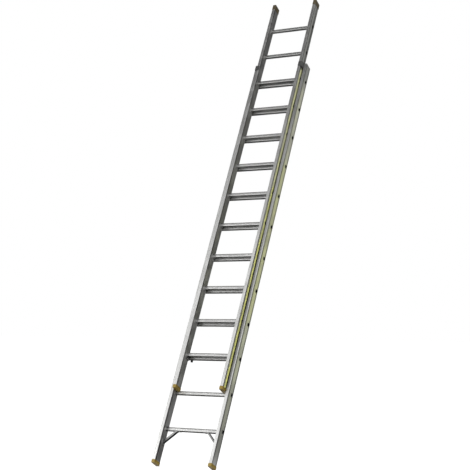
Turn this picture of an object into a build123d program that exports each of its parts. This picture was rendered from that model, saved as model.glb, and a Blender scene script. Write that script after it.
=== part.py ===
from build123d import *
import math
import os

# Lean of the ladder from the vertical, against a wall behind it, in degrees
lean_angle = 28.0

# Rungs: square tubes pressed through both walls of each stile
rung_count = 12
rung_pitch = 280.0
rung_size = 25.0
rung_corner = 3.0
rung_wall = 1.6
rung_setback = 41.5
rung_proud = 1.2
rung_fit = 0.1
rung_groove_width = 2.2
rung_groove_depth = 0.6
rung_groove_pitch = 6.0
rung_groove_count = 3
collar_rise = 2.5
collar_width = 3.0

# Stiles: extruded box sections, one profile for both sections
stile_width = 25.0
stile_depth = 75.0
stile_wall = 1.8
stile_corner = 2.5
bead_width = 3.0
bead_depth = 0.9
bead_inset = 7.0
panel_depth = 0.5
panel_margin = 15.0
flute_width = 3.0
flute_depth = 0.5
flute_inset = 8.0

# How the two sections sit together
fly_inner_width = 356.0
side_gap = 11.0
section_gap = 3.5
foot_to_first_rung = 272.0
fly_foot_to_first_rung = 284.0
base_top_past_rung = 162.0
fly_top_past_rung = 262.0
fly_raised_rungs = 2
hook_offset = 9.5

# Plastic feet and top caps
foot_wall = 2.0
foot_fit = 0.2
foot_height = 24.0
sole_thickness = 10.0
sole_rim = 4.0
sole_groove_width = 4.0
sole_groove_depth = 2.5
sole_groove_pitch = 9.0
cap_height = 48.0
cap_top_thickness = 6.0
end_plug_depth = 30.0
end_plug_fit = 0.3
plug_flange = 6.0
plug_chamfer = 2.5

# Knee braces under the lowest base rung
brace_run = 94.0
brace_drop = 94.0
brace_tab = 24.0
brace_width = 22.0
brace_thickness = 2.0
brace_lip = 12.0
brace_lip_clear = 2.0

# Guide brackets at the top of the base, wrapped round the fly's stiles
guide_height = 46.0
guide_thickness = 3.0
guide_clear = 2.0
guide_overlap = 30.0
guide_lip_short = 2.0
guide_corner = 6.0

# Swinging rung hooks at the foot of the fly
hook_width = 14.0
hook_bar = 10.0
hook_eye_radius = 4.5
hook_pivot_rise = 5.0
hook_run_clear = 1.0
hook_seat_clear = 0.3
hook_mouth_clear = 1.0
hook_heel_clear = 0.5
hook_nose_drop = 11.0
hook_corner = 4.0
hook_side_clear = 0.5
bracket_thickness = 3.0
bracket_foot_width = 33.5
bracket_foot_height = 22.0
bracket_foot_drop = 5.0
bracket_neck_width = 8.0
bracket_neck_rise = 6.0
bracket_corner = 3.0
pin_radius = 2.0
pin_clear = 0.3
pin_head_radius = 4.4
pin_head_thickness = 3.0

# Rivets
rivet_radius = 2.4
rivet_head_radius = 4.5
rivet_head_height = 1.8
rivet_head_round = 1.0
guide_rivet_pitch = 26.0
bracket_rivet_pitch = 14.0
bracket_rivet_inset = 11.5

# Places across the ladder, X to the right
fly_inner = fly_inner_width / 2
fly_outer = fly_inner + stile_width
base_inner = fly_outer + side_gap

# Places in depth, Y to the back, zero at the rear edge of the base soles
section_offset = stile_depth + section_gap - rung_setback
base_front = -(stile_depth + foot_wall)
fly_front = base_front - section_offset

# Places up the stiles, zero at the base soles
span = (rung_count - 1) * rung_pitch
base_top = foot_to_first_rung + span + base_top_past_rung
fly_first_rung = foot_to_first_rung + fly_raised_rungs * rung_pitch + hook_offset
fly_bottom = fly_first_rung - fly_foot_to_first_rung
fly_top = fly_first_rung + span + fly_top_past_rung
brace_rung_underside = foot_to_first_rung - rung_size / 2

# Hook pivot, above and behind the fly's lowest rung, and the hook's outer side
pivot_y = fly_front + stile_depth + section_gap - hook_run_clear - hook_eye_radius
pivot_z = fly_first_rung + rung_size / 2 + hook_pivot_rise
hook_outer = fly_inner - bracket_thickness - hook_side_clear
bracket_rear = pivot_y + hook_eye_radius
bracket_foot_top = fly_first_rung - rung_size / 2 - bracket_foot_drop
bracket_foot_bottom = bracket_foot_top - bracket_foot_height

lean = Rot(X=-lean_angle)
nodes = {}


def add(name, shape):
    """Keep a piece under its node name, leaned back from the upright pose it is drawn in."""
    nodes[name] = lean * shape


def add_pair(name, right_shape):
    """Keep a right hand piece and its mirror image on the left."""
    add(name.format(side="right"), right_shape)
    add(name.format(side="left"), mirror(right_shape, about=Plane.YZ))


def rounded(width, height, radius):
    """A rectangle with round corners, or square ones where the radius is nil."""
    if radius > 0:
        return RectangleRounded(width, height, radius)
    return Rectangle(width, height)


def along_x(profile, start, length):
    """A profile drawn in depth and height, extruded across the ladder from start."""
    return Pos(X=start) * extrude(Plane.YZ * profile, amount=length)


def along_z(profile, start, length):
    """A profile drawn in width and depth, extruded up the stile from start."""
    return Pos(Z=start) * extrude(profile, amount=length)


def rung_section(size, corner):
    """A square of the rung's section, with its corners rounded."""
    return rounded(size, size, corner)


def rung_heights(first):
    """Heights of a section's rung centres."""
    return [first + step * rung_pitch for step in range(rung_count)]


def stile_centre(front, inner):
    """Middle of a right hand stile's section."""
    return Pos(inner + stile_width / 2, front + stile_depth / 2)


def stile_bore():
    """The hollow of a stile, about its own middle."""
    corner = max(stile_corner - stile_wall, 0)
    return rounded(stile_width - 2 * stile_wall, stile_depth - 2 * stile_wall, corner)


def stile_profile():
    """Section of a right hand stile about its own middle, with its outer face to +X."""
    half_width = stile_width / 2
    half_depth = stile_depth / 2
    profile = rounded(stile_width, stile_depth, stile_corner) - stile_bore()
    profile -= Pos(half_width, 0) * Rectangle(2 * panel_depth, stile_depth - 2 * panel_margin)
    for end in (-1, 1):
        bead = Rectangle(2 * bead_depth, bead_width)
        profile -= Pos(half_width, end * (half_depth - bead_inset)) * bead
        flute = Rectangle(flute_width, 2 * flute_depth)
        profile -= Pos(end * (half_width - flute_inset), -half_depth) * flute
    return profile


def stile(front, inner, bottom, top, first_rung, rivet_holes):
    """A right hand stile with the holes that its rungs and rivets go through."""
    body = stile_centre(front, inner) * along_z(stile_profile(), bottom, top - bottom)
    hole = rung_section(rung_size + 2 * rung_fit, rung_corner)
    rung_y = front + rung_setback + rung_size / 2
    start = inner - rung_proud
    length = stile_width + 2 * rung_proud
    cutters = [along_x(Pos(rung_y, z) * hole, start, length) for z in rung_heights(first_rung)]
    return body - (cutters + rivet_holes)


def rung(front, inner, height):
    """A hollow rung with a grooved tread, a grooved front and a swaged collar at each stile."""
    centre = Pos(front + rung_setback + rung_size / 2, height)
    half = rung_size / 2
    bore = rung_section(rung_size - 2 * rung_wall, max(rung_corner - rung_wall, 0))
    profile = rung_section(rung_size, rung_corner) - bore
    for step in range(rung_groove_count):
        place = (step - (rung_groove_count - 1) / 2) * rung_groove_pitch
        profile -= Pos(place, half) * Rectangle(rung_groove_width, 2 * rung_groove_depth)
        profile -= Pos(-half, place) * Rectangle(2 * rung_groove_depth, rung_groove_width)
    half_length = inner + stile_width + rung_proud
    body = along_x(centre * profile, -half_length, 2 * half_length)
    collar = rung_section(rung_size + 2 * collar_rise, rung_corner + collar_rise) - bore
    body += along_x(centre * collar, inner - collar_width, collar_width)
    body += along_x(centre * collar, -inner, collar_width)
    return body


def end_cover(height, closed, plug):
    """A plastic cover pushed over a stile's end, drawn standing on its closed end at Z zero."""
    outside = rounded(stile_width + 2 * foot_wall, stile_depth + 2 * foot_wall, stile_corner + foot_wall)
    socket = rounded(stile_width + 2 * foot_fit, stile_depth + 2 * foot_fit, stile_corner + foot_fit)
    bore_width = stile_width - 2 * (stile_wall + end_plug_fit)
    bore_depth = stile_depth - 2 * (stile_wall + end_plug_fit)
    cover = along_z(outside, 0, height) - along_z(socket, closed, height)
    return cover + along_z(Rectangle(bore_width, bore_depth), closed, plug)


def foot(front, inner, bottom):
    """A right hand foot, its sole cut with grooves inside a plain rim."""
    shape = end_cover(foot_height, sole_thickness, end_plug_depth)
    groove_length = stile_width + 2 * foot_wall - 2 * sole_rim
    groove_room = stile_depth + 2 * foot_wall - 2 * sole_rim - sole_groove_width
    count = 1 + int(groove_room / sole_groove_pitch)
    groove = Rectangle(groove_length, sole_groove_width)
    cutters = []
    for step in range(count):
        place = (step - (count - 1) / 2) * sole_groove_pitch
        cutters.append(along_z(Pos(0, place) * groove, 0, sole_groove_depth))
    return Pos(Z=bottom) * stile_centre(front, inner) * (shape - cutters)


def top_cap(front, inner, top):
    """A right hand cap over the top of a fly stile."""
    shape = end_cover(cap_height, cap_top_thickness, end_plug_depth)
    return Pos(Z=top) * stile_centre(front, inner) * (Rot(X=180) * shape)


def top_plug(front, inner, top):
    """A right hand plug that closes the top of a base stile, with a chamfered flange."""
    flange = along_z(rounded(stile_width, stile_depth, stile_corner), -plug_flange, plug_flange)
    rim = flange.faces().sort_by(Axis.Z)[-1].edges()
    flange = chamfer(rim, plug_chamfer)
    width = stile_width - 2 * (stile_wall + end_plug_fit)
    depth = stile_depth - 2 * (stile_wall + end_plug_fit)
    core = along_z(Rectangle(width, depth), -plug_flange - end_plug_depth, end_plug_depth)
    return Pos(Z=top) * stile_centre(front, inner) * (flange + core)


def rivet(grip):
    """A rivet standing on Z zero with its domed head above, and its shank below for the grip."""
    head = Cylinder(rivet_head_radius, rivet_head_height, align=(Align.CENTER, Align.CENTER, Align.MIN))
    head = fillet(head.faces().sort_by(Axis.Z)[-1].edges(), rivet_head_round)
    return head + rivet_hole(grip)


def rivet_hole(grip):
    """The shank of a rivet, also used to cut its hole."""
    return Cylinder(rivet_radius, grip, align=(Align.CENTER, Align.CENTER, Align.MAX))


def brace_places():
    """Turned places of the two rivets of the right hand brace: rung tab, then stile tab."""
    rung_y = base_front + rung_setback + rung_size / 2
    tab_x = base_inner - brace_run - brace_tab / 2
    tab_z = brace_rung_underside - brace_drop - brace_tab / 2
    under_rung = Pos(tab_x, rung_y, brace_rung_underside - brace_thickness) * Rot(X=180)
    on_stile = Pos(base_inner - brace_thickness, rung_y, tab_z) * Rot(Y=-90)
    return under_rung, on_stile


def brace():
    """The right hand knee brace: a folded strap with a lip along each edge of its slope."""
    angle = math.atan2(brace_drop, brace_run)
    slope = Vector(math.cos(angle), -math.sin(angle))
    up = Vector(math.sin(angle), math.cos(angle))
    upper = Vector(base_inner - brace_run, brace_rung_underside)
    lower = Vector(base_inner, brace_rung_underside - brace_drop)
    thick = brace_thickness
    outline = [
        upper - Vector(brace_tab, 0),
        upper,
        lower,
        lower - Vector(0, brace_tab),
        lower - Vector(thick, brace_tab),
        lower - Vector(thick, thick * math.tan((math.pi / 2 - angle) / 2)),
        upper - Vector(thick * math.tan(angle / 2), thick),
        upper - Vector(brace_tab, thick),
    ]
    rise = brace_lip * math.cos(angle) + brace_lip_clear
    run = brace_lip * math.sin(angle) + brace_lip_clear
    lip_outline = [
        upper + slope * brace_lip_clear,
        upper + slope * (rise / math.sin(angle)) + up * brace_lip,
        lower - slope * (run / math.cos(angle)) + up * brace_lip,
        lower - slope * brace_lip_clear,
    ]
    rung_y = base_front + rung_setback + rung_size / 2
    strap = across(outline, rung_y - brace_width / 2, brace_width)
    strap += across(lip_outline, rung_y - brace_width / 2, thick)
    strap += across(lip_outline, rung_y + brace_width / 2 - thick, thick)
    holes = [place * rivet_hole(thick) for place in brace_places()]
    return strap - holes


def across(outline, start, length):
    """An outline drawn in width and height, extruded to the back from start."""
    face = make_face(Polyline([(point.X, point.Y) for point in outline], close=True))
    return Pos(Y=start) * extrude(Plane.XZ * face, amount=-length)


def guide_places():
    """Turned places of the rivets that hold the right hand guide bracket to the base stile."""
    y = base_front + guide_overlap / 2
    middle = base_top - plug_flange - guide_height / 2
    offsets = (-guide_rivet_pitch / 2, guide_rivet_pitch / 2)
    return [Pos(base_inner - guide_thickness, y, middle + step) * Rot(Y=-90) for step in offsets]


def guide():
    """The right hand guide bracket: a plate on the base stile and a lip before the fly stile."""
    front = fly_front - guide_clear - guide_thickness
    bottom = base_top - plug_flange - guide_height
    plate_depth = base_front + guide_overlap - front
    plate = Pos(base_inner - guide_thickness, front, bottom) * corner_box(guide_thickness, plate_depth)
    rear = plate.edges().filter_by(Axis.X).sort_by(Axis.Y)[-2:]
    plate = fillet(rear, guide_corner)
    lip_inner = fly_inner + guide_lip_short
    lip = Pos(lip_inner, front, bottom) * corner_box(base_inner - lip_inner, guide_thickness)
    ends = lip.edges().filter_by(Axis.Y).sort_by(Axis.X)[:2]
    lip = fillet(ends, guide_corner)
    return plate + lip - [place * rivet_hole(guide_thickness) for place in guide_places()]


def corner_box(width, depth):
    """A plate of the guide's height that stands with a corner at the origin."""
    return Box(width, depth, guide_height, align=(Align.MIN, Align.MIN, Align.MIN))


def bracket_places():
    """Turned places of the rivets that hold the right hand hook bracket to the fly stile."""
    middle = (bracket_foot_top + bracket_foot_bottom) / 2
    insets = (bracket_rivet_inset, bracket_rivet_inset + bracket_rivet_pitch)
    return [Pos(fly_inner - bracket_thickness, bracket_rear - inset, middle) * Rot(Y=-90) for inset in insets]


def hook_bracket():
    """The right hand plate on the fly stile: a foot under the rung and a neck behind it for the hook's pin."""
    neck_height = pivot_z + bracket_neck_rise - bracket_foot_bottom
    foot_place = Pos(bracket_rear - bracket_foot_width / 2, bracket_foot_bottom + bracket_foot_height / 2)
    neck_place = Pos(bracket_rear - bracket_neck_width / 2, bracket_foot_bottom + neck_height / 2)
    profile = foot_place * rounded(bracket_foot_width, bracket_foot_height, bracket_corner)
    profile += neck_place * rounded(bracket_neck_width, neck_height, bracket_corner)
    profile -= Pos(pivot_y, pivot_z) * Circle(pin_radius)
    plate = along_x(profile, fly_inner - bracket_thickness, bracket_thickness)
    return plate - [place * rivet_hole(bracket_thickness) for place in bracket_places()]


def hook_pin():
    """The right hand pin that the hook swings on, with a flat head at its free end."""
    middle = Pos(pivot_y, pivot_z)
    head_start = hook_outer - hook_width - hook_side_clear
    shank = along_x(middle * Circle(pin_radius), head_start, fly_inner - head_start)
    head = along_x(middle * Circle(pin_head_radius), head_start - pin_head_thickness, pin_head_thickness)
    return shank + head


def hook():
    """The right hand hook: an eye on the pin, a seat over a base rung and a nose behind it."""
    seat = hook_seat_clear - hook_pivot_rise - hook_offset
    mouth_rear = base_front + rung_setback + rung_size + hook_mouth_clear - pivot_y
    heel = base_front + rung_setback - hook_heel_clear - pivot_y
    nose_rear = mouth_rear + hook_bar
    nose_tip = seat - hook_seat_clear - rung_size - hook_nose_drop
    crown = seat + hook_bar
    arm = make_face(
        Polyline(
            (heel, seat),
            (mouth_rear, seat),
            (mouth_rear, nose_tip),
            (nose_rear, nose_tip),
            (nose_rear, crown),
            (hook_eye_radius, hook_eye_radius / 2),
            (-hook_eye_radius, 0),
            (-hook_eye_radius, -hook_eye_radius / 2),
            close=True,
        )
    )
    arm = fillet(arm.vertices().sort_by(Axis.X)[-2:], hook_corner)
    profile = arm + Circle(hook_eye_radius) - Circle(pin_radius + pin_clear)
    return along_x(Pos(pivot_y, pivot_z) * profile, hook_outer - hook_width, hook_width)


def rivet_group(places, grip):
    """Rivets at the given places on the right, and their mirror images on the left."""
    right = [place * rivet(grip) for place in places]
    left = [mirror(one, about=Plane.YZ) for one in right]
    return [lean * one for one in right + left]


def build_base():
    """The base section, with its feet, plugs, guide brackets and knee braces."""
    under_rung, on_stile = brace_places()
    stile_grip = guide_thickness + stile_wall
    brace_grip = brace_thickness + stile_wall
    rung_grip = brace_thickness + rung_wall
    holes = [place * rivet_hole(stile_grip) for place in guide_places()]
    holes.append(on_stile * rivet_hole(brace_grip))
    bottom = sole_thickness
    top = base_top - plug_flange
    add_pair("base_{side}_stile", stile(base_front, base_inner, bottom, top, foot_to_first_rung, holes))
    for number, height in enumerate(rung_heights(foot_to_first_rung), start=1):
        shape = rung(base_front, base_inner, height)
        if number == 1:
            right_hole = under_rung * rivet_hole(rung_grip)
            shape -= [right_hole, mirror(right_hole, about=Plane.YZ)]
        add(f"base_rung_{number:02d}", shape)
    add_pair("base_{side}_foot", foot(base_front, base_inner, 0))
    add_pair("base_{side}_top_plug", top_plug(base_front, base_inner, base_top))
    add_pair("base_{side}_guide", guide())
    add_pair("base_{side}_brace", brace())
    nodes["base_guide_rivets"] = Compound(rivet_group(guide_places(), stile_grip))
    brace_rivets = rivet_group([under_rung], rung_grip) + rivet_group([on_stile], brace_grip)
    nodes["base_brace_rivets"] = Compound(brace_rivets)


def build_fly():
    """The fly section, with its feet, top caps and rung hooks."""
    grip = bracket_thickness + stile_wall
    holes = [place * rivet_hole(grip) for place in bracket_places()]
    bottom = fly_bottom + sole_thickness
    top = fly_top - cap_top_thickness
    add_pair("fly_{side}_stile", stile(fly_front, fly_inner, bottom, top, fly_first_rung, holes))
    for number, height in enumerate(rung_heights(fly_first_rung), start=1):
        add(f"fly_rung_{number:02d}", rung(fly_front, fly_inner, height))
    add_pair("fly_{side}_foot", foot(fly_front, fly_inner, fly_bottom))
    add_pair("fly_{side}_top_cap", top_cap(fly_front, fly_inner, fly_top))
    add_pair("fly_{side}_hook_bracket", hook_bracket())
    add_pair("fly_{side}_hook_pin", hook_pin())
    add_pair("{side}_rung_hook", hook())
    nodes["fly_bracket_rivets"] = Compound(rivet_group(bracket_places(), grip))


build_base()
build_fly()
os.makedirs("parts", exist_ok=True)
for node_name, node_shape in nodes.items():
    export_step(node_shape, f"parts/{node_name}.step")
print(len(nodes), "nodes")
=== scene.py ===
"""Looks of a two-section extension ladder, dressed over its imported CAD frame."""
import logging
import math
from dataclasses import dataclass
from enum import Enum

import bmesh
import bpy
from bpy.types import Material, Node, NodeOutputs, NodeTree, Object
from bpy.types import NodeSocket as Socket
from mathutils import Matrix, Vector


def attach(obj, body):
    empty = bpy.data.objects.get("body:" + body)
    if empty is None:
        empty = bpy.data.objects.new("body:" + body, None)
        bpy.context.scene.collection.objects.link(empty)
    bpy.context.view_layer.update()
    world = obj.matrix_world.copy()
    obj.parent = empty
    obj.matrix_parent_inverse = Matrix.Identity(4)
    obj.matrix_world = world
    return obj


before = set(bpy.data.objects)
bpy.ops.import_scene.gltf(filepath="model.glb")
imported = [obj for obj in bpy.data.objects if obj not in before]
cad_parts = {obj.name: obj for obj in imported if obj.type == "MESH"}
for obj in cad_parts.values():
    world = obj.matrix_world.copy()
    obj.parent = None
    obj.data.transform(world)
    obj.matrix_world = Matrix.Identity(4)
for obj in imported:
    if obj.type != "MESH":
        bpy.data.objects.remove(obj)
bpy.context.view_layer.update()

MM = 0.001
LEAN = math.radians(28.0)
QUARTER_TURN = math.pi / 2

# Sizes that finishes and pieces share, in millimetres, drawn upright
RUNG_PITCH = 280.0
BASE_FRONT = -77.0
FLY_FRONT = -114.0
BASE_FIRST_RUNG = 272.0
FLY_FIRST_RUNG = 841.5

BEVEL_SAMPLES = 6
SHADE_SAMPLES = 8
FILLET_POINTS = 4
WIRE_POINTS = 8
SCRATCH_STRETCH = (1.0, 1.0, 0.04)

log = logging.getLogger("ladder")

Colour = tuple[float, float, float, float]
Place = tuple[float, float, float]
Span = tuple[float, float]


class Section(Enum):
    """The two sliding sections, by the name of their body."""

    BASE = "base"
    FLY = "fly"


class Side(Enum):
    """Left and right of the ladder, with the sign of X."""

    LEFT = -1
    RIGHT = 1


class GrainRun(Enum):
    """The way that drawn lines run, as the turn that brings it to Z."""

    STILE = (LEAN, 0.0, 0.0)
    RUNG = (0.0, QUARTER_TURN, 0.0)


def rgb(red: float, green: float, blue: float) -> Colour:
    """Give an opaque colour."""
    return (red, green, blue, 1.0)


def grey(level: float) -> Colour:
    """Give an opaque grey."""
    return rgb(level, level, level)


def metres(span: Span) -> list[float]:
    """Give two lengths in millimetres as metres."""
    return [length * MM for length in span]


def upright(x: float, v: float, u: float) -> Vector:
    """Place a point that is drawn with the ladder upright.

    Args:
        x: Millimetres to the right.
        v: Millimetres back from the rear edges of the base soles.
        u: Millimetres up along the stiles.

    Returns:
        The point in metres, leaned as the ladder is.
    """
    return Matrix.Rotation(-LEAN, 3, "X") @ (Vector((x, v, u)) * MM)


class NodeSheet:
    """A node tree with short calls that add and link nodes."""

    def __init__(self, tree: NodeTree) -> None:
        """Keep the tree that nodes are added to."""
        self.tree = tree

    def add(self, kind: str, values: dict | None = None, **settings: object) -> Node:
        """Add one node.

        Args:
            kind: Blender's name for the node type.
            values: Its inputs, as fill takes them.
            settings: Its own properties.

        Returns:
            The new node.
        """
        node = self.tree.nodes.new(kind)
        for name, value in settings.items():
            setattr(node, name, value)
        self.fill(node, values or {})
        return node

    def fill(self, node: Node, values: dict) -> None:
        """Set or link a node's inputs.

        Args:
            node: The node.
            values: Input sockets by name or index, each with a value or the socket to link from.
        """
        for key, value in values.items():
            if isinstance(value, Socket):
                self.tree.links.new(value, node.inputs[key])
            else:
                node.inputs[key].default_value = value

    def math(self, operation: str, first: object, second: object = 0.0, third: object = 0.0,
             clamp: bool = False) -> Socket:
        """Join up to three numbers or sockets with one sum, kept between 0 and 1 if clamped."""
        values = {0: first, 1: second, 2: third}
        return self.add("ShaderNodeMath", values, operation=operation, use_clamp=clamp).outputs[0]

    def mix(self, factor: object, first: object, second: object) -> Socket:
        """Mix two colours, the first where the factor is 0."""
        return self.add("ShaderNodeMix", {0: factor, 6: first, 7: second}, data_type="RGBA").outputs[2]

    def tint(self, colour: object, other: Colour, mask: Socket, amount: float) -> Socket:
        """Mix some of another colour in where a mask is."""
        return self.mix(self.math("MULTIPLY", mask, amount), colour, other)

    def spread(self, value: object, low: float, high: float, to_low: float = 0.0,
               to_high: float = 1.0) -> Socket:
        """Map the range from low to high smoothly to another, and hold it past both ends."""
        node = self.add("ShaderNodeMapRange", {0: value, 1: low, 2: high, 3: to_low, 4: to_high},
                        interpolation_type="SMOOTHSTEP")
        return node.outputs[0]

    def noise(self, place: Socket, scale: object, detail: float, rough: float = 0.5,
              distort: float = 0.0) -> Socket:
        """Add a noise pattern with finer layers in it."""
        node = self.add("ShaderNodeTexNoise", {"Vector": place, "Scale": scale, "Detail": detail,
                                               "Roughness": rough, "Distortion": distort})
        return node.outputs["Fac"]

    def parts(self, vector: Socket) -> NodeOutputs:
        """Split a vector into its three numbers."""
        return self.add("ShaderNodeSeparateXYZ", {0: vector}).outputs

    def facing(self) -> NodeOutputs:
        """Give the three numbers of the surface's own direction."""
        return self.parts(self.add("ShaderNodeNewGeometry").outputs["Normal"])


class Effects:
    """Shader node groups that several finishes share."""

    def __init__(self) -> None:
        """Build each group once."""
        self.lines = self.drawn_lines()
        self.bloom = self.oxide_bloom()
        self.scratches = self.handling_scratches()
        self.wear = self.edge_wear()
        self.grime = self.seam_occlusion_shade()
        self.peel = self.skin_peel()

    def start(self, name: str, inputs: dict[str, float], output: str) -> tuple[NodeSheet, NodeOutputs]:
        """Open an empty group with its sockets.

        Args:
            name: The group's name.
            inputs: The names of its number inputs with their first values, after a vector.
            output: The name of the one value that it puts out.

        Returns:
            The group's sheet and the sockets of its inputs.
        """
        tree = bpy.data.node_groups.new(name, "ShaderNodeTree")
        tree.interface.new_socket("Vector", in_out="INPUT", socket_type="NodeSocketVector")
        for title, value in inputs.items():
            socket = tree.interface.new_socket(title, in_out="INPUT", socket_type="NodeSocketFloat")
            socket.default_value = value
        tree.interface.new_socket(output, in_out="OUTPUT", socket_type="NodeSocketFloat")
        sheet = NodeSheet(tree)
        return sheet, sheet.add("NodeGroupInput").outputs

    def close(self, sheet: NodeSheet, value: Socket) -> NodeTree:
        """Put a value out of a group and give the group."""
        sheet.add("NodeGroupOutput", {0: value})
        return sheet.tree

    def drawn_lines(self) -> NodeTree:
        """Fine lines that run along Z, left by the die.

        Returns:
            The group.
        """
        sheet, given = self.start("Drawn lines", {"Across": 700.0, "Along": 1.5}, "Lines")
        across, along = given["Across"], given["Along"]
        stretch = sheet.add("ShaderNodeCombineXYZ", {0: across, 1: across, 2: along})
        place = sheet.add("ShaderNodeVectorMath", {0: given["Vector"], 1: stretch.outputs[0]},
                          operation="MULTIPLY").outputs[0]
        fine = sheet.noise(place, 1.0, 3.0, rough=0.6)
        broad = sheet.noise(place, 0.18, 2.0)
        both = sheet.math("MULTIPLY_ADD", fine, 0.6, sheet.math("MULTIPLY", broad, 0.4))
        return self.close(sheet, sheet.spread(both, 0.3, 0.7))

    def oxide_bloom(self) -> NodeTree:
        """Soft patches of dull oxide.

        Returns:
            The group.
        """
        sheet, given = self.start("Oxide bloom", {"Scale": 6.0, "Fine Scale": 60.0}, "Bloom")
        patch = sheet.noise(given["Vector"], given["Scale"], 6.0, rough=0.62, distort=0.4)
        fleck = sheet.noise(given["Vector"], given["Fine Scale"], 4.0, rough=0.7)
        soft = sheet.spread(patch, 0.44, 0.66)
        spots = sheet.spread(fleck, 0.5, 0.72)
        return self.close(sheet, sheet.math("MULTIPLY_ADD", spots, 0.35, soft, clamp=True))

    def handling_scratches(self) -> NodeTree:
        """Thin scratches left by hands, boots and the sliding section.

        Returns:
            The group.
        """
        sheet, given = self.start("Handling scratches", {"Scale": 30.0, "Width": 0.012}, "Scratch")
        noise = sheet.noise(given["Vector"], given["Scale"], 1.0, distort=0.2)
        off = sheet.math("ABSOLUTE", sheet.math("SUBTRACT", noise, 0.5))
        thin = sheet.math("SUBTRACT", 1.0, sheet.math("DIVIDE", off, given["Width"]), clamp=True)
        patch = sheet.spread(sheet.noise(given["Vector"], 9.0, 3.0), 0.5, 0.62)
        return self.close(sheet, sheet.math("MULTIPLY", thin, patch))

    def edge_wear(self) -> NodeTree:
        """Bare or polished edges, broken up so that no edge is worn evenly.

        Returns:
            The group.
        """
        sheet, given = self.start("Edge wear", {"Radius": 0.0012, "Scale": 40.0}, "Wear")
        round_edge = sheet.add("ShaderNodeBevel", {"Radius": given["Radius"]}, samples=BEVEL_SAMPLES)
        face = sheet.add("ShaderNodeNewGeometry")
        same = sheet.add("ShaderNodeVectorMath", {0: round_edge.outputs[0], 1: face.outputs["Normal"]},
                         operation="DOT_PRODUCT")
        edge = sheet.spread(same.outputs["Value"], 0.99, 0.86)
        rub = sheet.spread(sheet.noise(given["Vector"], given["Scale"], 4.0), 0.36, 0.6)
        return self.close(sheet, sheet.math("MULTIPLY", edge, rub))

    def seam_occlusion_shade(self) -> NodeTree:
        """Painted shade in corners, seams and inside tubes, from ambient occlusion broken up a little by
        noise.

        Returns:
            The group.
        """
        sheet, given = self.start("Seam occlusion shade", {"Reach": 0.02, "Scale": 50.0}, "Grime")
        # painted shade: ambient occlusion darkens corners, seams and tube insides
        corner = sheet.add("ShaderNodeAmbientOcclusion", {"Distance": given["Reach"]},
                           samples=SHADE_SAMPLES)
        shut = sheet.spread(corner.outputs["AO"], 0.62, 0.12)
        broken = sheet.spread(sheet.noise(given["Vector"], given["Scale"], 4.0), 0.3, 0.6, 0.75, 1.0)
        return self.close(sheet, sheet.math("MULTIPLY", shut, broken))

    def skin_peel(self) -> NodeTree:
        """Fine uneven skin of a coat or a moulding.

        Returns:
            The group.
        """
        sheet, given = self.start("Skin peel", {"Scale": 900.0}, "Height")
        cells = sheet.add("ShaderNodeTexVoronoi", {"Vector": given["Vector"], "Scale": given["Scale"]},
                          feature="SMOOTH_F1")
        noise = sheet.noise(given["Vector"], given["Scale"], 2.0)
        return self.close(sheet, sheet.math("ADD", cells.outputs["Distance"], noise))


def put(sheet: NodeSheet, tree: NodeTree, place: Socket, **values: float) -> Socket:
    """Place a shared group in a material, with its inputs in lower case and underscores."""
    named = {title.replace("_", " ").title(): value for title, value in values.items()}
    return sheet.add("ShaderNodeGroup", {"Vector": place, **named}, node_tree=tree).outputs[0]


def new_material(name: str) -> tuple[Material, NodeSheet, Node]:
    """Open a new material.

    Args:
        name: The material's name.

    Returns:
        The material, its sheet and its shader.
    """
    material = bpy.data.materials.new(name)
    material.use_nodes = True
    sheet = NodeSheet(material.node_tree)
    return material, sheet, sheet.tree.nodes["Principled BSDF"]


def bump_skin(sheet: NodeSheet, skin: Node, height: Socket, radius: float, strength: float,
              distance: float) -> None:
    """Round a shader's edges and raise its fine pattern.

    Args:
        sheet: The material's sheet.
        skin: Its shader.
        height: The socket of the pattern.
        radius: Radius of the edges in metres.
        strength: How strongly the pattern shows.
        distance: Height of the pattern in metres.
    """
    edge = sheet.add("ShaderNodeBevel", {"Radius": radius}, samples=BEVEL_SAMPLES)
    bump = sheet.add("ShaderNodeBump", {"Strength": strength, "Distance": distance, "Height": height,
                                        "Normal": edge.outputs[0]})
    sheet.fill(skin, {"Normal": bump.outputs[0]})


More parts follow.
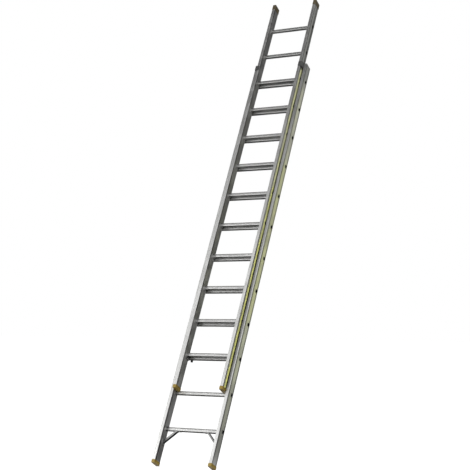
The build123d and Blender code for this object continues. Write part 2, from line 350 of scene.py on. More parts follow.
@dataclass(frozen=True)
class StileShade:
    """Painted shade on a stile: dark bands along the front and rear edges of its faces, and the fly's
    shadow on the base's front, in millimetres drawn upright.
    """

    front: float
    band: float
    rear: float
    strip: float | None = None
    band_soft: float = 4.0
    rear_soft: Span = (4.0, 6.0)
    strip_soft: float = 2.0
    strip_side: float = 100.0
    strip_start: Span = (560.0, 600.0)
    strip_fade: Span = (2300.0, 1100.0)
    strip_most: float = 0.75
    turned: Span = (0.5, 0.9)
    ahead: Span = (-0.5, -0.8)

    def mask(self, sheet: NodeSheet, where: NodeOutputs, facing: NodeOutputs) -> Socket:
        """Mask of the painted shade along the front and rear edges, and of the painted shadow in the strip
        beside the fly.

        Args:
            sheet: The material's sheet.
            where: The place, drawn upright, in metres.
            facing: The surface's direction.

        Returns:
            The socket of the mask.
        """
        depth = sheet.math("SUBTRACT", where[1], self.front * MM)
        ahead = sheet.spread(depth, *metres((self.band + self.band_soft, self.band - self.band_soft)))
        sideways = sheet.spread(sheet.math("ABSOLUTE", facing[0]), *self.turned)
        rear = metres((self.rear - self.rear_soft[0], self.rear + self.rear_soft[1]))
        behind = sheet.spread(depth, *rear)
        out = sheet.math("MULTIPLY", facing[0], sheet.math("SIGN", where[0]))
        outward = sheet.spread(out, *self.turned)
        # painted shade: a front band on side faces and a rear band on outer faces
        marks = sheet.math("MAXIMUM", sheet.math("MULTIPLY", ahead, sideways),
                           sheet.math("MULTIPLY", behind, outward))
        if self.strip is None:
            return marks
        # painted shadow of the fly on the inner part of the base's front faces
        edge = metres((self.strip + self.strip_soft, self.strip - self.strip_soft))
        inside = sheet.math("MULTIPLY", sheet.spread(where[0], *edge),
                            sheet.spread(where[0], 0.0, self.strip_side * MM))
        covered = sheet.math("MULTIPLY", sheet.spread(where[2], *metres(self.strip_start)),
                             sheet.spread(where[2], *metres(self.strip_fade), 0.0, self.strip_most))
        forward = sheet.math("MULTIPLY", sheet.math("MULTIPLY", inside, covered),
                             sheet.spread(facing[1], *self.ahead))
        return sheet.math("MAXIMUM", marks, forward)


@dataclass(frozen=True)
class RungShade:
    """Painted shade on rungs and braces: darker undersides and dark edge bands, in millimetres drawn
    upright.
    """

    first_rung: float | None = None
    crease: float | None = None
    downward: Span = (-0.5, -0.62)
    under_most: float = 0.85
    tread_edge: Span = (1.5, 5.5)
    low_edge: Span = (-9.0, -11.0)
    low_fade: Span = (1700.0, 800.0)
    crease_soft: float = 2.0
    brace_foot: Span = (230.0, 190.0)
    brace_most: float = 0.6
    brace_side: float = 100.0

    def mask(self, sheet: NodeSheet, where: NodeOutputs, facing: NodeOutputs) -> Socket:
        """Mask of the painted shade.

        Args:
            sheet: The material's sheet.
            where: The place, drawn upright, in metres.
            facing: The surface's direction.

        Returns:
            The socket of the mask.
        """
        # painted shade: surfaces that face down are darker
        marks = sheet.spread(facing[2], *self.downward, 0.0, self.under_most)
        if self.first_rung is not None:
            marks = sheet.math("MAXIMUM", self.edges(sheet, where), marks)
        if self.crease is not None:
            marks = sheet.math("MAXIMUM", marks, self.fold(sheet, where))
        return marks

    def edges(self, sheet: NodeSheet, where: NodeOutputs) -> Socket:
        """Mask of painted shade on each rung's upper half, and on the lower edge of the low rungs.

        Args:
            sheet: The material's sheet.
            where: The place, drawn upright, in metres.

        Returns:
            The socket of the mask.
        """
        half = RUNG_PITCH / 2
        rise = sheet.math("SUBTRACT", where[2], (self.first_rung - half) * MM)
        rise = sheet.math("SUBTRACT", sheet.math("MODULO", rise, RUNG_PITCH * MM), half * MM)
        lower = sheet.math("MULTIPLY", sheet.spread(rise, *metres(self.low_edge)),
                           sheet.spread(where[2], *metres(self.low_fade)))
        return sheet.math("MAXIMUM", sheet.spread(rise, *metres(self.tread_edge)), lower)

    def fold(self, sheet: NodeSheet, where: NodeOutputs) -> Socket:
        """Mask of painted shade on the upper edge and lower end of the right brace.

        Args:
            sheet: The material's sheet.
            where: The place, drawn upright, in metres.

        Returns:
            The socket of the mask.
        """
        across = sheet.math("ADD", where[0], where[2])
        edge = metres((self.crease - self.crease_soft, self.crease + self.crease_soft))
        upper = sheet.spread(across, *edge)
        foot = sheet.spread(where[2], *metres(self.brace_foot), 0.0, self.brace_most)
        lower = sheet.math("MULTIPLY", foot, sheet.spread(where[0], 0.0, self.brace_side * MM))
        return sheet.math("MAXIMUM", upper, lower)


@dataclass(frozen=True)
class MillAluminium:
    """Bare extruded aluminium with drawn lines, dull oxide and rubbed edges, with painted shade in its
    seams and in dark bands along edges, undersides and gaps.
    """

    name: str
    run: GrainRun
    marks: StileShade | RungShade = RungShade()
    light: Colour = rgb(0.7, 0.7, 0.69)
    dark: Colour = rgb(0.6, 0.6, 0.595)
    oxide: Colour = rgb(0.53, 0.53, 0.52)
    # painted shade tone for seams, corners and tube insides
    shade_tone: Colour = grey(0.012)
    rubbed: Colour = rgb(0.8, 0.8, 0.79)
    # painted shade tone for the dark bands along edges, undersides and gaps
    painted_shade: Colour = rgb(0.12, 0.12, 0.115)
    metallic: float = 0.85
    smooth: float = 0.34
    dull: float = 0.5
    line_rough: float = 0.06
    marked: Span = (0.85, 0.55)
    corner: float = 0.0008
    seam: float = 0.005

    def make(self, effects: Effects) -> Material:
        """Build the material.

        Args:
            effects: The shared node groups.

        Returns:
            The material.
        """
        material, sheet, skin = new_material(self.name)
        place = sheet.add("ShaderNodeTexCoord").outputs["Object"]
        along = sheet.add("ShaderNodeMapping", {"Vector": place, "Rotation": self.run.value}).outputs[0]
        stretched = sheet.add("ShaderNodeMapping", {"Vector": along, "Scale": SCRATCH_STRETCH}).outputs[0]
        lines = put(sheet, effects.lines, along)
        bloom = put(sheet, effects.bloom, place)
        scratch = put(sheet, effects.scratches, stretched)
        wear = put(sheet, effects.wear, place)
        grime = put(sheet, effects.grime, place, reach=self.seam)
        colour = sheet.mix(lines, self.dark, self.light)
        colour = sheet.tint(colour, self.oxide, bloom, amount=0.45)
        colour = sheet.tint(colour, self.rubbed, scratch, amount=0.4)
        # painted shade: dark bands along edges, undersides and gaps
        colour = sheet.mix(self.painted_shade_mask(sheet, place, bloom), colour, self.painted_shade)
        colour = sheet.tint(colour, self.rubbed, wear, amount=0.5)
        # painted shade: near-black in corners, seams and tube insides
        colour = sheet.mix(grime, colour, self.shade_tone)
        dull = sheet.spread(bloom, 0.0, 1.0, self.smooth, self.dull)
        rough = sheet.math("ADD", dull, sheet.math("MULTIPLY", lines, self.line_rough))
        sheet.fill(skin, {"Base Color": colour, "Roughness": rough, "Metallic": self.metallic})
        bump_skin(sheet, skin, lines, radius=self.corner, strength=0.12, distance=0.0004)
        return material

    def painted_shade_mask(self, sheet: NodeSheet, place: Socket, bloom: Socket) -> Socket:
        """Mask of the painted shade bands, broken up by the oxide.

        Args:
            sheet: The material's sheet.
            place: The socket of Object coordinates.
            bloom: The socket of the oxide patches.

        Returns:
            The socket of the mask.
        """
        level = sheet.add("ShaderNodeMapping", {"Vector": place, "Rotation": GrainRun.STILE.value})
        marks = self.marks.mask(sheet, sheet.parts(level.outputs[0]), sheet.facing())
        return sheet.math("MULTIPLY", marks, sheet.spread(bloom, 0.0, 1.0, *self.marked))


@dataclass(frozen=True)
class MouldedPlastic:
    """Satin moulded plastic with a fine skin, faint flow marks, scuffs and rubbed edges, with painted
    shade in its seams and on soles that face down.
    """

    name: str
    body: Colour
    flow: Colour
    scuffed: Colour
    shade_tone: Colour = rgb(0.03, 0.025, 0.015)
    rough: float = 0.42
    rougher: float = 0.14
    shine: float = 0.5
    sole_shade: float = 0.0
    downward: Span = (-0.6, -0.8)

    def make(self, effects: Effects) -> Material:
        """Build the material.

        Args:
            effects: The shared node groups.

        Returns:
            The material.
        """
        material, sheet, skin = new_material(self.name)
        place = sheet.add("ShaderNodeTexCoord").outputs["Object"]
        bloom = put(sheet, effects.bloom, place, scale=14.0, fine_scale=120.0)
        scratch = put(sheet, effects.scratches, place, scale=70.0, width=0.016)
        wear = put(sheet, effects.wear, place, radius=0.0016, scale=60.0)
        grime = put(sheet, effects.grime, place, reach=0.008)
        peel = put(sheet, effects.peel, place, scale=1400.0)
        colour = sheet.mix(bloom, self.body, self.flow)
        colour = sheet.tint(colour, self.scuffed, scratch, amount=0.35)
        colour = sheet.tint(colour, self.scuffed, wear, amount=0.45)
        # painted shade in seams and corners
        colour = sheet.tint(colour, self.shade_tone, grime, amount=0.7)
        # painted shade on soles that face down
        if self.sole_shade:
            sole = sheet.spread(sheet.facing()[2], *self.downward, 0.0, self.sole_shade)
            colour = sheet.mix(sole, colour, self.shade_tone)
        rough = sheet.spread(bloom, 0.0, 1.0, self.rough, self.rough + self.rougher)
        sheet.fill(skin, {"Base Color": colour, "Roughness": rough, "Specular IOR Level": self.shine})
        bump_skin(sheet, skin, peel, radius=0.0012, strength=0.1, distance=0.0003)
        return material


@dataclass(frozen=True)
class PowderCoat:
    """Dark powder coat over steel, with its orange-peel skin and steel showing at rubbed edges."""

    name: str
    coat: Colour = rgb(0.045, 0.045, 0.047)
    dusty: Colour = grey(0.09)
    steel: Colour = rgb(0.42, 0.41, 0.4)
    bare: float = 0.6
    rough: Span = (0.36, 0.55)

    def make(self, effects: Effects) -> Material:
        """Build the material.

        Args:
            effects: The shared node groups.

        Returns:
            The material.
        """
        material, sheet, skin = new_material(self.name)
        place = sheet.add("ShaderNodeTexCoord").outputs["Object"]
        bloom = put(sheet, effects.bloom, place, scale=20.0, fine_scale=160.0)
        wear = put(sheet, effects.wear, place, radius=0.001, scale=90.0)
        peel = put(sheet, effects.peel, place, scale=700.0)
        rubbed = sheet.math("MULTIPLY", wear, self.bare)
        colour = sheet.mix(rubbed, sheet.mix(bloom, self.coat, self.dusty), self.steel)
        rough = sheet.spread(bloom, 0.0, 1.0, *self.rough)
        sheet.fill(skin, {"Base Color": colour, "Metallic": rubbed, "Roughness": rough})
        bump_skin(sheet, skin, peel, radius=0.0009, strength=0.22, distance=0.0004)
        return material


@dataclass(frozen=True)
class ZincSteel:
    """Zinc-plated steel of pins and rivets, with a cloudy plate and painted shade at the foot of each
    head.
    """

    name: str
    plate: Colour = rgb(0.58, 0.58, 0.56)
    cloud: Colour = rgb(0.44, 0.44, 0.43)
    shade_tone: Colour = grey(0.03)
    rough: Span = (0.28, 0.46)
    corner: float = 0.0005

    def make(self, effects: Effects) -> Material:
        """Build the material.

        Args:
            effects: The shared node groups.

        Returns:
            The material.
        """
        material, sheet, skin = new_material(self.name)
        place = sheet.add("ShaderNodeTexCoord").outputs["Object"]
        bloom = put(sheet, effects.bloom, place, scale=180.0, fine_scale=700.0)
        grime = put(sheet, effects.grime, place, reach=0.004, scale=200.0)
        plate = sheet.mix(bloom, self.plate, self.cloud)
        # painted shade at the foot of each head
        colour = sheet.tint(plate, self.shade_tone, grime, amount=0.6)
        rough = sheet.spread(bloom, 0.0, 1.0, *self.rough)
        edge = sheet.add("ShaderNodeBevel", {"Radius": self.corner}, samples=BEVEL_SAMPLES).outputs[0]
        sheet.fill(skin, {"Base Color": colour, "Metallic": 1.0, "Roughness": rough, "Normal": edge})
        return material


class Finishes:
    """Every finish on the ladder, made once."""

    def __init__(self) -> None:
        """Make the materials."""
        effects = Effects()
        stiles = {
            Section.BASE: MillAluminium(
                "base_stile_aluminium", GrainRun.STILE,
                StileShade(front=BASE_FRONT, band=17.5, rear=55.5, strip=231.0)),
            Section.FLY: MillAluminium(
                "fly_stile_aluminium", GrainRun.STILE,
                StileShade(front=FLY_FRONT, band=14.0, rear=40.0), seam=0.02),
        }
        # painted shade: the rungs take a darker copy of the stile aluminium, offsetting the highlight card
        # on the rung fronts
        rungs = {
            section: MillAluminium(
                f"{section.value}_rung_aluminium", GrainRun.RUNG, RungShade(first_rung=first),
                light=rgb(0.64, 0.64, 0.63), dark=rgb(0.54, 0.54, 0.535), seam=0.018)
            for section, first in ((Section.BASE, BASE_FIRST_RUNG), (Section.FLY, FLY_FIRST_RUNG))
        }
        self.stile = {section: finish.make(effects) for section, finish in stiles.items()}
        self.rung = {section: finish.make(effects) for section, finish in rungs.items()}
        # painted shade: the braces take a darker copy of the aluminium, as they sit in shade under the
        # lowest rung
        self.brace = MillAluminium(
            "shaded_brace_aluminium", GrainRun.RUNG, RungShade(crease=389.0),
            light=rgb(0.34, 0.34, 0.335), dark=rgb(0.27, 0.27, 0.265), oxide=rgb(0.24, 0.24, 0.235),
            rubbed=rgb(0.5, 0.5, 0.49), painted_shade=grey(0.035),
            smooth=0.4, dull=0.58).make(effects)
        # painted shade: the swaged lips take a near-black copy of the aluminium, widening the dark rung
        # ends
        self.lip = MillAluminium(
            "shaded_lip_aluminium", GrainRun.RUNG,
            light=rgb(0.08, 0.08, 0.078), dark=rgb(0.055, 0.055, 0.054), oxide=grey(0.05),
            rubbed=rgb(0.2, 0.2, 0.195)).make(effects)
        # painted shade: near-black cups inside the open rung ends
        self.hollow = MouldedPlastic(
            "hollow_shade", grey(0.006), grey(0.009), grey(0.014),
            rough=0.8, shine=0.0).make(effects)
        # painted shade on the downward soles of the feet
        self.yellow = MouldedPlastic(
            "yellow_plastic", rgb(0.46, 0.315, 0.052), rgb(0.5, 0.35, 0.065), rgb(0.56, 0.42, 0.14),
            sole_shade=0.6).make(effects)
        # painted shade: the top caps take a darker copy of the yellow plastic
        self.cap = MouldedPlastic(
            "shaded_yellow_plastic", rgb(0.17, 0.135, 0.08), rgb(0.2, 0.16, 0.09),
            rgb(0.3, 0.25, 0.15)).make(effects)
        self.grey = MouldedPlastic(
            "grey_plastic", grey(0.2), grey(0.25), grey(0.4)).make(effects)
        self.black = PowderCoat("black_powder_coat").make(effects)
        self.guide = PowderCoat(
            "weathered_powder_coat", coat=rgb(0.12, 0.12, 0.118),
            dusty=rgb(0.19, 0.19, 0.185)).make(effects)
        self.zinc = ZincSteel("zinc_steel").make(effects)


def paint(obj: Object, material: Material) -> None:
    """Put one material in each of an object's slots."""
    for slot in obj.material_slots:
        slot.material = material


class RepeatTree:
    """A Geometry Nodes tree that is run with named sizes and kept as a plain mesh."""

    def __init__(self, name: str, inputs: dict[str, str]) -> None:
        """Open an empty tree.

        Args:
            name: The tree's name.
            inputs: The names of its inputs, each with the last word of its socket type.
        """
        self.tree = bpy.data.node_groups.new(name, "GeometryNodeTree")
        self.sheet = NodeSheet(self.tree)
        face = self.tree.interface
        face.new_socket("Geometry", in_out="INPUT", socket_type="NodeSocketGeometry")
        self.sockets = {
            title: face.new_socket(title, in_out="INPUT", socket_type=f"NodeSocket{kind}").identifier
            for title, kind in inputs.items()
        }
        face.new_socket("Geometry", in_out="OUTPUT", socket_type="NodeSocketGeometry")
        self.given = self.sheet.add("NodeGroupInput").outputs

    def step(self, kind: str, values: dict, **settings: object) -> Socket:
        """Add one geometry node and give its first output."""
        return self.sheet.add(f"GeometryNode{kind}", values, **settings).outputs[0]

    def join(self, first: Socket, second: Socket) -> Socket:
        """Join two pieces of geometry.

        Args:
            first: The socket of the one.
            second: The socket of the other.

        Returns:
            The socket of both.
        """
        node = self.sheet.add("GeometryNodeJoinGeometry", {0: first})
        self.sheet.fill(node, {0: second})
        return node.outputs[0]

    def row(self) -> Socket:
        """Give the points of a straight row."""
        return self.step("MeshLine", {"Count": self.given["Count"], "Start Location": self.given["Start"],
                                      "Offset": self.given["Step"]}, mode="OFFSET")

    def outline(self, width: Socket, height: Socket) -> Socket:
        """Draw a rounded rectangle."""
        square = self.step("CurvePrimitiveQuadrilateral", {"Width": width, "Height": height})
        return self.step("FilletCurve", {"Curve": square, "Radius": self.given["Corner"],
                                         "Count": FILLET_POINTS}, mode="POLY")

    def close(self, shape: Socket) -> None:
        """Dress a shape and put it out of the tree."""
        dressed = self.step("SetMaterial", {"Geometry": shape, "Material": self.given["Finish"]})
        self.sheet.add("NodeGroupOutput", {0: dressed})

    def piece(self, name: str, **values: object) -> Object:
        """Run the tree with one set of sizes.

        Args:
            name: The piece's name.
            values: The tree's inputs, in lower case.

        Returns:
            The piece, at the origin.
        """
        holder = bpy.data.objects.new(name, bpy.data.meshes.new(name))
        bpy.context.scene.collection.objects.link(holder)
        modifier = holder.modifiers.new("Repeat", "NODES")
        modifier.node_group = self.tree
        for title, value in values.items():
            modifier[self.sockets[title.title()]] = value
        modifier[self.sockets["Lean"]] = (-LEAN, 0.0, 0.0)
        depsgraph = bpy.context.evaluated_depsgraph_get()
        mesh = bpy.data.meshes.new_from_object(holder.evaluated_get(depsgraph))
        holder.modifiers.remove(modifier)
        holder.data = mesh
        mesh.name = name
        return holder


class BeadRings(RepeatTree):
    """Geometry Nodes tree: rounded-rectangle beads on a straight row, mirrored to both sides."""

    def __init__(self) -> None:
        """Build the tree once."""
        super().__init__("Bead rings", {
            "Count": "Int", "Start": "Vector", "Step": "Vector", "Width": "Float", "Depth": "Float",
            "Corner": "Float", "Bead": "Float", "Turn": "Vector", "Lean": "Vector", "Finish": "Material"})
        given = self.given
        row = self.row()
        other = self.step("Transform", {"Geometry": row, "Scale": (-1.0, 1.0, 1.0)})
        wire = self.step("CurvePrimitiveCircle", {"Resolution": WIRE_POINTS, "Radius": given["Bead"]})
        ring = self.step("CurveToMesh", {"Curve": self.outline(given["Width"], given["Depth"]),
                                         "Profile Curve": wire})
        turned = self.step("Transform", {"Geometry": ring, "Rotation": given["Turn"]})
        placed = self.step("InstanceOnPoints", {"Points": self.join(row, other), "Instance": turned})
        real = self.step("RealizeInstances", {"Geometry": placed})
        leaned = self.step("Transform", {"Geometry": real, "Rotation": given["Lean"]})
        self.close(self.step("SetShadeSmooth", {"Geometry": leaned}))


class EndCups(RepeatTree):
    """Geometry Nodes tree: shallow cups of painted shade in a row of open tube ends, mirrored to both
    sides.
    """

    def __init__(self) -> None:
        """Build the tree once."""
        super().__init__("End cups", {
            "Count": "Int", "Start": "Vector", "Step": "Vector", "Width": "Float", "Corner": "Float",
            "Depth": "Float", "Lean": "Vector", "Finish": "Material"})
        given = self.given
        edge = self.outline(given["Width"], given["Width"])
        floor = self.step("FillCurve", {"Curve": edge}, mode="NGONS")
        grown = self.sheet.add("GeometryNodeExtrudeMesh", {"Mesh": floor, "Offset Scale": given["Depth"],
                                                           "Individual": False}, mode="FACES").outputs
        open_end = self.step("DeleteGeometry", {"Geometry": grown["Mesh"], "Selection": grown["Top"]},
                             domain="FACE")
        wall = self.step("FlipFaces", {"Mesh": open_end})
        turned = self.step("Transform", {"Geometry": self.join(wall, floor),
                                         "Rotation": (0.0, QUARTER_TURN, 0.0)})
        right = self.step("InstanceOnPoints", {"Points": self.row(), "Instance": turned})
        flat = self.step("RealizeInstances", {"Geometry": right})
        other = self.step("Transform", {"Geometry": flat, "Rotation": (0.0, 0.0, math.pi)})
        shift = self.sheet.add("ShaderNodeVectorMath", {0: given["Start"], 1: (0.0, 2.0, 0.0)},
                               operation="MULTIPLY").outputs[0]
        back = self.step("Transform", {"Geometry": other, "Translation": shift})
        leaned = self.step("Transform", {"Geometry": self.join(flat, back), "Rotation": given["Lean"]})
        self.close(self.step("RealizeInstances", {"Geometry": leaned}))


@dataclass
class LadderSection:
    """One sliding section: two stiles, twelve rungs, and the covers on its ends."""

    section: Section
    inner: float
    front: float
    bottom: float
    first_rung: float
    cap_top: float | None = None
    stile_width: float = 25.0
    stile_depth: float = 75.0
    rung_count: int = 12
    rung_size: float = 25.0
    rung_setback: float = 41.5
    rung_corner: float = 3.0
    rung_proud: float = 1.2
    lip_bead: float = 1.1
    lip_proud: float = 0.4
    lip_inset: float = 0.8
    cup_depth: float = 12.0
    cup_inset: float = 0.2
    cup_walls: float = 3.3
    cup_corner: float = 1.4
    cover_wall: float = 2.0
    cover_corner: float = 4.0
    rib_bead: float = 0.7
    rib_pitch: float = 6.5
    foot_rib_rise: float = 13.0
    foot_rib_count: int = 2
    cap_rib_drop: float = 42.0
    cap_rib_count: int = 3

    def nodes(self, *words: str) -> list[Object]:
        """CAD nodes of this section whose names hold any of the words."""
        start = self.section.value + "_"
        return [obj for name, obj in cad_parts.items()
                if name.startswith(start) and any(word in name for word in words)]

    def dress(self, finishes: Finishes) -> None:
        """Give each carried-over CAD node its finish.

        Args:
            finishes: The ladder's finishes.
        """
        for words, material in ((("stile",), finishes.stile[self.section]),
                                (("rung_0", "rung_1"), finishes.rung[self.section]),
                                (("foot",), finishes.yellow),
                                (("top_cap",), finishes.cap),
                                (("top_plug",), finishes.grey),
                                (("guide",), finishes.guide),
                                (("hook_bracket",), finishes.black),
                                (("brace",), finishes.brace),
                                (("rivets", "pin"), finishes.zinc)):
            for obj in self.nodes(*words):
                paint(obj, material)

    def build(self, beads: BeadRings, cups: EndCups, finishes: Finishes) -> list[Object]:
        """Make this section's own pieces.

        Args:
            beads: The bead tree.
            cups: The cup tree.
            finishes: The ladder's finishes.

        Returns:
            The pieces.
        """
        feet = self.bottom + self.foot_rib_rise
        pieces = [self.rung_lips(beads, finishes), self.end_cups(cups, finishes),
                  self.cover_ribs(beads, finishes.yellow, "foot_ribs", feet, self.foot_rib_count)]
        if self.cap_top is not None:
            caps = self.cap_top - self.cap_rib_drop
            pieces.append(self.cover_ribs(beads, finishes.cap, "cap_ribs", caps, self.cap_rib_count))
        return pieces

    def rung_row(self, x: float) -> dict[str, object]:
        """Inputs of a tree for the row of rung ends that is x millimetres from the middle."""
        middle = self.front + self.rung_setback + self.rung_size / 2
        return {"count": self.rung_count, "start": Vector((x, middle, self.first_rung)) * MM,
                "step": (0.0, 0.0, RUNG_PITCH * MM)}

    def rung_lips(self, beads: BeadRings, finishes: Finishes) -> Object:
        """Swaged lips round the open rung ends on the outer faces of the stiles.

        Args:
            beads: The bead tree.
            finishes: The ladder's finishes.

        Returns:
            The lips of this section as one piece.
        """
        outer = self.inner + self.stile_width + self.lip_proud
        side = (self.rung_size - self.lip_inset) * MM
        piece = beads.piece(f"{self.section.value}_rung_lips", **self.rung_row(outer), width=side,
                            depth=side, corner=self.rung_corner * MM, bead=self.lip_bead * MM,
                            turn=(0.0, QUARTER_TURN, 0.0), finish=finishes.lip)
        return self.carry(piece)

    def end_cups(self, cups: EndCups, finishes: Finishes) -> Object:
        """Painted shade in the rung ends: dark cups a few millimetres deep.

        Args:
            cups: The cup tree.
            finishes: The ladder's finishes.

        Returns:
            The hollows of this section as one piece.
        """
        mouth = self.inner + self.stile_width + self.rung_proud - self.cup_inset
        piece = cups.piece(f"{self.section.value}_rung_hollows", **self.rung_row(mouth - self.cup_depth),
                           width=(self.rung_size - self.cup_walls) * MM, corner=self.cup_corner * MM,
                           depth=self.cup_depth * MM, finish=finishes.hollow)
        return self.carry(piece)

    def cover_ribs(self, beads: BeadRings, finish: Material, name: str, low: float,
                   count: int) -> Object:
        """Moulded grip ribs round the plastic covers.

        Args:
            beads: The bead tree.
            finish: The finish of the covers.
            name: The last part of the piece's name.
            low: Height of the lowest rib along the stile.
            count: How many ribs a cover has.

        Returns:
            The ribs of both covers as one piece.
        """
        grow = 2 * self.cover_wall
        middle = (self.inner + self.stile_width / 2, self.front + self.stile_depth / 2, low)
        piece = beads.piece(f"{self.section.value}_{name}", count=count, start=Vector(middle) * MM,
                            step=(0.0, 0.0, self.rib_pitch * MM), width=(self.stile_width + grow) * MM,
                            depth=(self.stile_depth + grow) * MM, corner=self.cover_corner * MM,
                            bead=self.rib_bead * MM, turn=(0.0, 0.0, 0.0), finish=finish)
        return self.carry(piece)

    def carry(self, piece: Object) -> Object:
        """Let a piece ride on this section's body.

        Args:
            piece: The piece.

        Returns:
            The same piece.
        """
        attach(piece, self.section.value)
        return piece


class RungHooks:
    """The two hooks that carry the fly on a base rung."""

    def dress(self, finishes: Finishes) -> None:
        """Give both hooks their coat."""
        for side in Side:
            paint(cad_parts[f"{side.name.lower()}_rung_hook"], finishes.black)


def lying(x: Span, y: Span, z: float) -> list[Place]:
    """Corners of a level rectangle."""
    return [(x[0], y[0], z), (x[1], y[0], z), (x[1], y[1], z), (x[0], y[1], z)]


def standing(x: Span, y: float, z: Span) -> list[Place]:
    """Corners of a rectangle that stands across the view."""
    return [(x[0], y, z[0]), (x[1], y, z[0]), (x[1], y, z[1]), (x[0], y, z[1])]


@dataclass
class Studio:
    """White floor and background, a soft box, cards for the metal to mirror, and the camera."""

    floor_size: float = 60.0
    floor_white: float = 0.8
    ambient: float = 0.35
    eye: Place = (4.0215, -6.9925, 1.1099)
    tilt: float = 93.695
    swing: float = 27.454
    lens: float = 87.578
    sensor: float = 36.0
    far_clip: float = 200.0
    card_rise: float = 0.004
    warm_card_x: Span = (275.0, 520.0)
    warm_card_depth: float = 200.0
    gap_card_x: float = 213.7
    gap_strip: Span = (-72.0, -57.0)
    gap_shade: Span = (-56.0, 0.0)
    gap_shade_tall: Span = (0.0, 3500.0)

    def seen(self, sheet: NodeSheet) -> Socket:
        """Mask of camera, glossy and transmission rays.

        Args:
            sheet: The sheet of the floor or the world.

        Returns:
            The socket of the mask.
        """
        path = sheet.add("ShaderNodeLightPath").outputs
        both = sheet.math("MAXIMUM", path["Is Camera Ray"], path["Is Glossy Ray"])
        return sheet.math("MAXIMUM", both, path["Is Transmission Ray"])

    def background(self) -> None:
        """White where it is seen, softer where it lights."""
        world = bpy.data.worlds.new("studio")
        bpy.context.scene.world = world
        world.use_nodes = True
        sheet = NodeSheet(world.node_tree)
        strength = sheet.add("ShaderNodeMapRange", {0: self.seen(sheet), 3: self.ambient, 4: 1.0})
        light = sheet.tree.nodes["Background"]
        sheet.fill(light, {"Color": grey(1.0), "Strength": strength.outputs[0]})

    def floor(self) -> None:
        """Pale floor that keeps the ladder's shadow."""
        mesh = bpy.data.meshes.new("floor")
        shape = bmesh.new()
        bmesh.ops.create_grid(shape, x_segments=8, y_segments=8, size=self.floor_size / 2)
        shape.to_mesh(mesh)
        shape.free()
        floor = bpy.data.objects.new("floor", mesh)
        bpy.context.scene.collection.objects.link(floor)
        material, sheet, skin = new_material("floor_white")
        white = self.floor_white
        glow = sheet.math("MULTIPLY", self.seen(sheet), white)
        sheet.fill(skin, {"Base Color": grey(white), "Roughness": 1.0, "Specular IOR Level": 0.0,
                          "Emission Color": grey(1.0), "Emission Strength": glow})
        mesh.materials.append(material)

    def softbox(self, name: str, place: Place, aim: Place, size: Span, power: float) -> None:
        """Hang one white soft box.

        Args:
            name: The lamp's name.
            place: Where it hangs.
            aim: The point that it faces.
            size: Its width and height.
            power: Its power in watts.
        """
        lamp = bpy.data.lights.new(name, "AREA")
        lamp.shape = "RECTANGLE"
        lamp.size, lamp.size_y = size
        lamp.energy = power
        holder = bpy.data.objects.new(name, lamp)
        holder.location = place
        holder.rotation_euler = (Vector(aim) - Vector(place)).to_track_quat("-Z", "Y").to_euler()
        holder.visible_camera = False
        bpy.context.scene.collection.objects.link(holder)

    def card(self, name: str, corners: list[Place] | list[Vector], colour: Colour,
             one_sided: bool = False) -> None:
        """Stand a card that only the metal's reflections see.

        Args:
            name: The card's name.
            corners: Its corners in order.
            colour: What it shows.
            one_sided: Whether it is clear from behind.
        """
        mesh = bpy.data.meshes.new(name)
        mesh.from_pydata([tuple(corner) for corner in corners], [], [(0, 1, 2, 3)])
        card = bpy.data.objects.new(name, mesh)
        bpy.context.scene.collection.objects.link(card)
        material, sheet, skin = new_material(name)
        sheet.fill(skin, {"Base Color": grey(0.0), "Specular IOR Level": 0.0,
                          "Emission Color": colour, "Emission Strength": 1.0})
        if one_sided:
            behind = sheet.add("ShaderNodeNewGeometry").outputs["Backfacing"]
            sheet.fill(skin, {"Alpha": sheet.math("SUBTRACT", 1.0, behind)})
        mesh.materials.append(material)
        for ray in ("camera", "diffuse", "shadow", "transmission", "volume_scatter"):
            setattr(card, f"visible_{ray}", False)

    def cards(self) -> None:
        """Stand every card."""
        self.plain_cards()
        self.warm_cards()
        self.gap_cards()

    def plain_cards(self) -> None:
        """Dark cards above, behind on the right and on the floor, and a bright one for the front faces."""
        low = self.card_rise
        slanted = [(0.7, 1.0, 5.0), (2.8, 1.0, 5.0), (4.6, -3.6, 5.0), (2.0, -3.8, 5.0)]
        for name, corners, level in (
                ("ceiling_card", lying((-8.0, 0.6), (-1.1, 9.0), 6.0), 0.07),
                ("rear_card", standing((-1.5, 8.0), 5.0, (0.0, 8.0)), 0.055),
                ("floor_card", lying((-7.0, -0.3), (-1.5, 9.0), low), 0.03),
                ("near_floor_card", lying((-0.3, 0.35), (0.05, 0.62), low), 0.03),
                ("right_floor_card", lying((0.55, 7.0), (-0.5, 9.0), low), 0.03),
                ("front_right_card", slanted, 0.2),
                ("highlight_card", lying((-3.4, -1.2), (-2.5, -1.1), 5.0), 1.7)):
            self.card(name, corners, grey(level))
        for name, corners in (("low_slat", standing((-0.1, 0.6), 0.8, (0.0, 0.13))),
                              ("foot_slat", standing((-0.2, 0.2), 0.45, (0.0, 0.07)))):
            self.card(name, corners, grey(0.02), one_sided=True)

    def warm_cards(self) -> None:
        """Warm cards behind the right stile, which its outer face mirrors, duller towards both ends."""
        near, far = self.warm_card_x
        back = self.warm_card_depth
        for name, low, high, colour in (("foot", 0.0, 380.0, rgb(0.24, 0.245, 0.21)),
                                        ("shin", 380.0, 750.0, rgb(0.42, 0.43, 0.33)),
                                        ("knee", 750.0, 1250.0, rgb(0.7, 0.72, 0.5)),
                                        ("middle", 1250.0, 2700.0, rgb(0.8, 0.82, 0.42)),
                                        ("high", 2700.0, 3500.0, rgb(0.76, 0.77, 0.57)),
                                        ("top", 3500.0, 4500.0, rgb(0.34, 0.345, 0.32))):
            self.card(f"{name}_warm_card", [upright(near, back, low), upright(far, back, low),
                                            upright(far, back, high), upright(near, back, high)], colour)

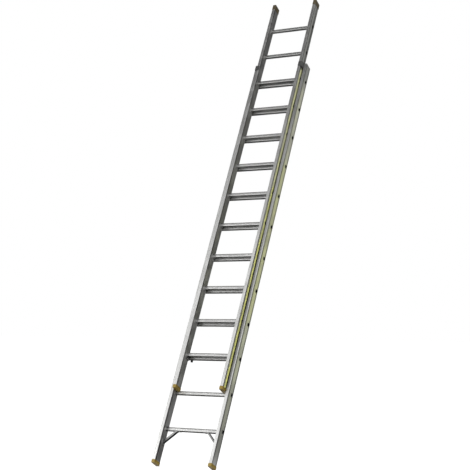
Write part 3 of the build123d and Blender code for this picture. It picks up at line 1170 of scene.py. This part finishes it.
    def gap_cards(self) -> None:
        """Painted reflection and painted shade in the gaps between the base and fly stiles: yellow strips,
        and a black card behind them, which the fly's outer faces mirror.
        """
        for side in Side:
            name = side.name.lower()
            # painted reflection: yellow strips for the fly's outer faces to mirror
            for part, tall, colour in (("low", (570.0, 2300.0), rgb(1.65, 1.65, 0.45)),
                                       ("high", (2300.0, 3500.0), rgb(1.55, 1.55, 0.75))):
                self.gap_card(f"{name}_{part}_gap_card", side, self.gap_strip, tall, colour)
            # painted shade: a black card in the gap behind the yellow strips
            self.gap_card(f"{name}_gap_shade", side, self.gap_shade, self.gap_shade_tall,
                          grey(0.002))

    def gap_card(self, name: str, side: Side, deep: Span, tall: Span, colour: Colour) -> None:
        """Stand a card against the inner face of a base stile, where the fly's outer face mirrors it.

        Args:
            name: The card's name.
            side: The side of the ladder.
            deep: Where it starts and ends from front to rear.
            tall: Where it starts and ends along the stile.
            colour: What it shows.
        """
        edge = side.value * self.gap_card_x
        corners = [upright(edge, deep[0], tall[0]), upright(edge, deep[1], tall[0]),
                   upright(edge, deep[1], tall[1]), upright(edge, deep[0], tall[1])]
        self.card(name, corners[::-side.value], colour, one_sided=True)

    def lights(self) -> None:
        """Hang the soft box."""
        self.softbox("front_left_box", place=(-3.4, -4.2, 2.2), aim=(0.0, 0.5, 1.0), size=(3.0, 2.2),
                     power=120.0)

    def camera(self) -> None:
        """Set up the camera at the viewing angle of the photograph."""
        data = bpy.data.cameras.new("camera")
        data.lens = self.lens
        data.sensor_width = self.sensor
        data.clip_end = self.far_clip
        camera = bpy.data.objects.new("camera", data)
        camera.location = self.eye
        camera.rotation_euler = (math.radians(self.tilt), 0.0, math.radians(self.swing))
        bpy.context.scene.collection.objects.link(camera)
        bpy.context.scene.camera = camera


def main() -> None:
    """Build and dress the ladder, then the studio."""
    logging.basicConfig(level=logging.INFO, format="%(name)s: %(message)s")
    bpy.context.scene.view_settings.view_transform = "Standard"
    finishes = Finishes()
    beads = BeadRings()
    cups = EndCups()
    base = LadderSection(Section.BASE, inner=214.0, front=BASE_FRONT, bottom=0.0,
                         first_rung=BASE_FIRST_RUNG)
    fly = LadderSection(Section.FLY, inner=178.0, front=FLY_FRONT, bottom=557.5, first_rung=FLY_FIRST_RUNG,
                        cap_top=4183.5)
    for part in (base, fly):
        part.dress(finishes)
        log.info("%s dressed", part.section.value)
        for piece in part.build(beads, cups, finishes):
            log.info("piece %s", piece.name)
    RungHooks().dress(finishes)
    log.info("rung hooks dressed")
    studio = Studio()
    studio.background()
    studio.floor()
    studio.cards()
    studio.lights()
    studio.camera()


if __name__ == "__main__":
    main()
